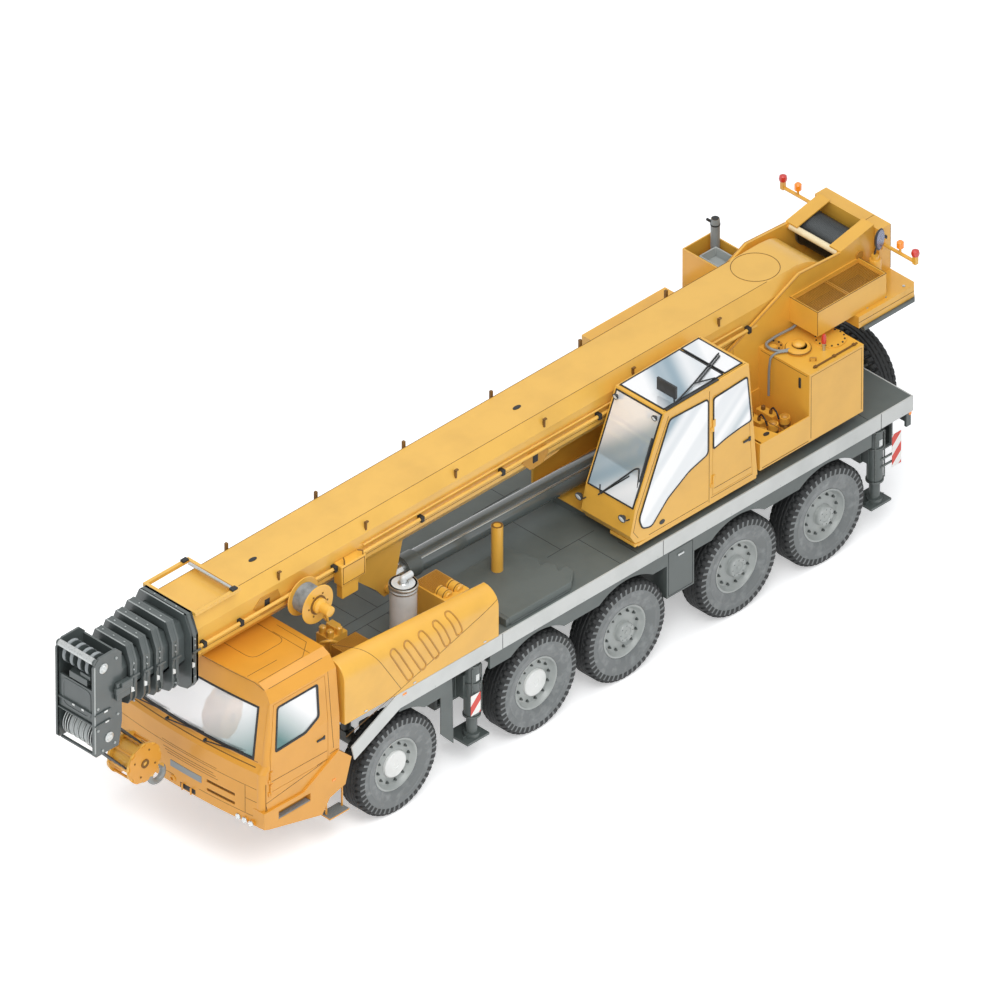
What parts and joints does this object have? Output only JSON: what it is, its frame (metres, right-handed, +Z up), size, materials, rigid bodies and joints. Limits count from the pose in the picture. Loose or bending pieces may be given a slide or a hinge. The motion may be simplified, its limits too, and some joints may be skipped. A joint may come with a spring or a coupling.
{
  "type": "mobile crane",
  "caption": "All-terrain mobile crane: telescopic boom stowed over the driver's cab, slewing superstructure with operator cab, outriggers, steered axles and hook block",
  "frame": {"origin": "on the ground, under the middle of the overall length and width", "axes": "+X forward, +Y left, +Z up"},
  "size_m": [14.55, 3, 4.09],
  "materials": {
    "crane_yellow": "gloss enamel on steel",
    "frame_grey": "dark grey enamel",
    "band_silver": "silver enamel",
    "bright_steel": "polished steel",
    "winch_steel": "dark rope on a cast drum",
    "cab_glass": "clear safety glass",
    "tyre_rubber": "black rubber on a grey rim"
  },
  "bodies": {
    "carrier": {"chassis_frame": "frame_grey", "deck": "frame_grey", "side_bands": "band_silver", "lockers": "frame_grey", "carrier_cab": "crane_yellow", "carrier_windscreen": "cab_glass", "engine_cover_left": "crane_yellow", "engine_cover_right": "crane_yellow", "engine": "frame_grey", "silencer": "bright_steel", "deck_post": "crane_yellow", "spare_wheel": "tyre_rubber", "slew_ring": "frame_grey", "axles": "frame_grey", "suspension": "frame_grey"},
    "knuckle_1_left": {"knuckle_1_left": "frame_grey"},
    "wheel_1_left": {"wheel_1_left": "tyre_rubber"},
    "knuckle_1_right": {"knuckle_1_right": "frame_grey"},
    "wheel_1_right": {"wheel_1_right": "tyre_rubber"},
    "knuckle_2_left": {"knuckle_2_left": "frame_grey"},
    "wheel_2_left": {"wheel_2_left": "tyre_rubber"},
    "knuckle_2_right": {"knuckle_2_right": "frame_grey"},
    "wheel_2_right": {"wheel_2_right": "tyre_rubber"},
    "wheel_3_left": {"wheel_3_left": "tyre_rubber"},
    "wheel_3_right": {"wheel_3_right": "tyre_rubber"},
    "knuckle_4_left": {"knuckle_4_left": "frame_grey"},
    "wheel_4_left": {"wheel_4_left": "tyre_rubber"},
    "knuckle_4_right": {"knuckle_4_right": "frame_grey"},
    "wheel_4_right": {"wheel_4_right": "tyre_rubber"},
    "knuckle_5_left": {"knuckle_5_left": "frame_grey"},
    "wheel_5_left": {"wheel_5_left": "tyre_rubber"},
    "knuckle_5_right": {"knuckle_5_right": "frame_grey"},
    "wheel_5_right": {"wheel_5_right": "tyre_rubber"},
    "carrier_door_left": {"carrier_door_left": "crane_yellow"},
    "carrier_door_right": {"carrier_door_right": "crane_yellow"},
    "outrigger_beam_front_left": {"outrigger_beam_front_left": "frame_grey"},
    "outrigger_jack_front_left": {"outrigger_jack_front_left": "frame_grey"},
    "outrigger_beam_front_right": {"outrigger_beam_front_right": "frame_grey"},
    "outrigger_jack_front_right": {"outrigger_jack_front_right": "frame_grey"},
    "outrigger_beam_rear_left": {"outrigger_beam_rear_left": "frame_grey"},
    "outrigger_jack_rear_left": {"outrigger_jack_rear_left": "frame_grey"},
    "outrigger_beam_rear_right": {"outrigger_beam_rear_right": "frame_grey"},
    "outrigger_jack_rear_right": {"outrigger_jack_rear_right": "frame_grey"},
    "superstructure": {"turntable": "crane_yellow", "operator_cab": "crane_yellow", "machine_house": "crane_yellow", "right_hood": "crane_yellow", "counterweight": "crane_yellow"},
    "operator_door": {"operator_door": "crane_yellow"},
    "winch_drum": {"winch_drum": "winch_steel"},
    "boom_base": {"boom_base": "crane_yellow"},
    "boom_section_1": {"boom_section_1": "frame_grey"},
    "boom_section_2": {"boom_section_2": "frame_grey"},
    "boom_section_3": {"boom_section_3": "frame_grey"},
    "boom_section_4": {"boom_section_4": "frame_grey"},
    "boom_section_5": {"boom_section_5": "frame_grey", "boom_head": "frame_grey"},
    "lift_barrel": {"lift_cylinder_barrel": "frame_grey"},
    "lift_rod": {"lift_cylinder_rod": "bright_steel"},
    "hook_block": {"hook_block": "crane_yellow"}
  },
  "joints": [
    {"name": "steer_1_left", "type": "hinge", "parent": "carrier", "child": "knuckle_1_left", "pos_m": [2.825, 1.12, 0.7465], "axis": [0, 0, 1], "range_deg": [-30, 30]},
    {"name": "spin_1_left", "type": "hinge", "parent": "knuckle_1_left", "child": "wheel_1_left", "pos_m": [2.825, 1.3075, 0.7465], "axis": [0, 1, 0], "continuous": true},
    {"name": "steer_1_right", "type": "hinge", "parent": "carrier", "child": "knuckle_1_right", "pos_m": [2.825, -1.12, 0.7465], "axis": [0, 0, 1], "range_deg": [-30.01, 30.01]},
    {"name": "spin_1_right", "type": "hinge", "parent": "knuckle_1_right", "child": "wheel_1_right", "pos_m": [2.825, -1.3075, 0.7465], "axis": [0, 1, 0], "continuous": true},
    {"name": "steer_2_left", "type": "hinge", "parent": "carrier", "child": "knuckle_2_left", "pos_m": [0.225, 1.12, 0.7465], "axis": [0, 0, 1], "range_deg": [-21.61, 21.61]},
    {"name": "spin_2_left", "type": "hinge", "parent": "knuckle_2_left", "child": "wheel_2_left", "pos_m": [0.225, 1.3075, 0.7465], "axis": [0, 1, 0], "continuous": true},
    {"name": "steer_2_right", "type": "hinge", "parent": "carrier", "child": "knuckle_2_right", "pos_m": [0.225, -1.12, 0.7465], "axis": [0, 0, 1], "range_deg": [-21.61, 21.61]},
    {"name": "spin_2_right", "type": "hinge", "parent": "knuckle_2_right", "child": "wheel_2_right", "pos_m": [0.225, -1.3075, 0.7465], "axis": [0, 1, 0], "continuous": true},
    {"name": "spin_3_left", "type": "hinge", "parent": "carrier", "child": "wheel_3_left", "pos_m": [-1.425, 1.3075, 0.7465], "axis": [0, 1, 0], "continuous": true},
    {"name": "spin_3_right", "type": "hinge", "parent": "carrier", "child": "wheel_3_right", "pos_m": [-1.425, -1.3075, 0.7465], "axis": [0, 1, 0], "continuous": true},
    {"name": "steer_4_left", "type": "hinge", "parent": "carrier", "child": "knuckle_4_left", "pos_m": [-3.525, 1.12, 0.7465], "axis": [0, 0, 1], "range_deg": [-9.01, 9.01]},
    {"name": "spin_4_left", "type": "hinge", "parent": "knuckle_4_left", "child": "wheel_4_left", "pos_m": [-3.525, 1.3075, 0.7465], "axis": [0, 1, 0], "continuous": true},
    {"name": "steer_4_right", "type": "hinge", "parent": "carrier", "child": "knuckle_4_right", "pos_m": [-3.525, -1.12, 0.7465], "axis": [0, 0, 1], "range_deg": [-9.01, 9.01]},
    {"name": "spin_4_right", "type": "hinge", "parent": "knuckle_4_right", "child": "wheel_4_right", "pos_m": [-3.525, -1.3075, 0.7465], "axis": [0, 1, 0], "continuous": true},
    {"name": "steer_5_left", "type": "hinge", "parent": "carrier", "child": "knuckle_5_left", "pos_m": [-5.175, 1.12, 0.7465], "axis": [0, 0, 1], "range_deg": [-18.61, 18.61]},
    {"name": "spin_5_left", "type": "hinge", "parent": "knuckle_5_left", "child": "wheel_5_left", "pos_m": [-5.175, 1.3075, 0.7465], "axis": [0, 1, 0], "continuous": true},
    {"name": "steer_5_right", "type": "hinge", "parent": "carrier", "child": "knuckle_5_right", "pos_m": [-5.175, -1.12, 0.7465], "axis": [0, 0, 1], "range_deg": [-18.61, 18.61]},
    {"name": "spin_5_right", "type": "hinge", "parent": "knuckle_5_right", "child": "wheel_5_right", "pos_m": [-5.175, -1.3075, 0.7465], "axis": [0, 1, 0], "continuous": true},
    {"name": "door_left", "type": "hinge", "parent": "carrier", "child": "carrier_door_left", "pos_m": [5.153, 1.4823, 1.66], "axis": [0, 0, -1], "range_deg": [0, 70]},
    {"name": "door_right", "type": "hinge", "parent": "carrier", "child": "carrier_door_right", "pos_m": [5.153, -1.4823, 1.66], "axis": [0, 0, 1], "range_deg": [0, 70]},
    {"name": "beam_front_left", "type": "slide", "parent": "carrier", "child": "outrigger_beam_front_left", "axis": [0, 1, 0], "range_m": [0, 2.1]},
    {"name": "jack_front_left", "type": "slide", "parent": "outrigger_beam_front_left", "child": "outrigger_jack_front_left", "axis": [0, 0, -1], "range_m": [0, 0.6]},
    {"name": "beam_front_right", "type": "slide", "parent": "carrier", "child": "outrigger_beam_front_right", "axis": [0, -1, 0], "range_m": [0, 2.1]},
    {"name": "jack_front_right", "type": "slide", "parent": "outrigger_beam_front_right", "child": "outrigger_jack_front_right", "axis": [0, 0, -1], "range_m": [0, 0.6]},
    {"name": "beam_rear_left", "type": "slide", "parent": "carrier", "child": "outrigger_beam_rear_left", "axis": [0, 1, 0], "range_m": [0, 2.1]},
    {"name": "jack_rear_left", "type": "slide", "parent": "outrigger_beam_rear_left", "child": "outrigger_jack_rear_left", "axis": [0, 0, -1], "range_m": [0, 0.6]},
    {"name": "beam_rear_right", "type": "slide", "parent": "carrier", "child": "outrigger_beam_rear_right", "axis": [0, -1, 0], "range_m": [0, 2.1]},
    {"name": "jack_rear_right", "type": "slide", "parent": "outrigger_beam_rear_right", "child": "outrigger_jack_rear_right", "axis": [0, 0, -1], "range_m": [0, 0.6]},
    {"name": "slew", "type": "hinge", "parent": "carrier", "child": "superstructure", "pos_m": [-2.6, 0, 2.04], "axis": [0, 0, 1], "continuous": true},
    {"name": "operator_door_hinge", "type": "hinge", "parent": "superstructure", "child": "operator_door", "pos_m": [-3.053, 1.4823, 2.9], "axis": [0, 0, -1], "range_deg": [0, 80]},
    {"name": "winch", "type": "hinge", "parent": "superstructure", "child": "winch_drum", "pos_m": [-6.77, 0, 3.7], "axis": [0, 1, 0], "continuous": true},
    {"name": "luff", "type": "hinge", "parent": "superstructure", "child": "boom_base", "pos_m": [-5.775, 0, 3.35], "axis": [0, -1, 0], "range_deg": [0, 82]},
    {"name": "telescope_1", "type": "slide", "parent": "boom_base", "child": "boom_section_1", "axis": [1, 0, 0], "range_m": [0, 8.8]},
    {"name": "telescope_2", "type": "slide", "parent": "boom_section_1", "child": "boom_section_2", "axis": [1, 0, 0], "range_m": [0, 8.8]},
    {"name": "telescope_3", "type": "slide", "parent": "boom_section_2", "child": "boom_section_3", "axis": [1, 0, 0], "range_m": [0, 8.8]},
    {"name": "telescope_4", "type": "slide", "parent": "boom_section_3", "child": "boom_section_4", "axis": [1, 0, 0], "range_m": [0, 8.8]},
    {"name": "telescope_5", "type": "slide", "parent": "boom_section_4", "child": "boom_section_5", "axis": [1, 0, 0], "range_m": [0, 8.8]},
    {"name": "lift_cylinder_swing", "type": "hinge", "parent": "superstructure", "child": "lift_barrel", "pos_m": [-3.675, 0, 2.25], "axis": [0, -1, 0], "range_deg": [0, 89.25]},
    {"name": "lift_cylinder_stroke", "type": "slide", "parent": "lift_barrel", "child": "lift_rod", "axis": [0.9996, 0, 0.0278], "range_m": [0, 2.9955]},
    {"name": "hook_swing", "type": "hinge", "parent": "boom_section_5", "child": "hook_block", "pos_m": [7, 0, 2.76], "axis": [0, -1, 0], "range_deg": [-40.91, 5]}
  ],
  "couplings": [
    {"joint": "steer_1_right", "follows": "steer_1_left", "ratio": 1},
    {"joint": "steer_2_left", "follows": "steer_1_left", "ratio": 0.72},
    {"joint": "steer_2_right", "follows": "steer_1_left", "ratio": 0.72},
    {"joint": "steer_4_left", "follows": "steer_1_left", "ratio": -0.3},
    {"joint": "steer_4_right", "follows": "steer_1_left", "ratio": -0.3},
    {"joint": "steer_5_left", "follows": "steer_1_left", "ratio": -0.62},
    {"joint": "steer_5_right", "follows": "steer_1_left", "ratio": -0.62},
    {"joint": "telescope_2", "follows": "telescope_1", "ratio": 1},
    {"joint": "telescope_3", "follows": "telescope_1", "ratio": 1},
    {"joint": "telescope_4", "follows": "telescope_1", "ratio": 1},
    {"joint": "telescope_5", "follows": "telescope_1", "ratio": 1},
    {"joint": "lift_cylinder_swing", "follows": "luff", "ratio": 1.0878},
    {"joint": "lift_cylinder_stroke", "follows": "luff", "m_per_rad": 2.0917},
    {"joint": "hook_swing", "follows": "luff", "ratio": -0.49828}
  ]
}
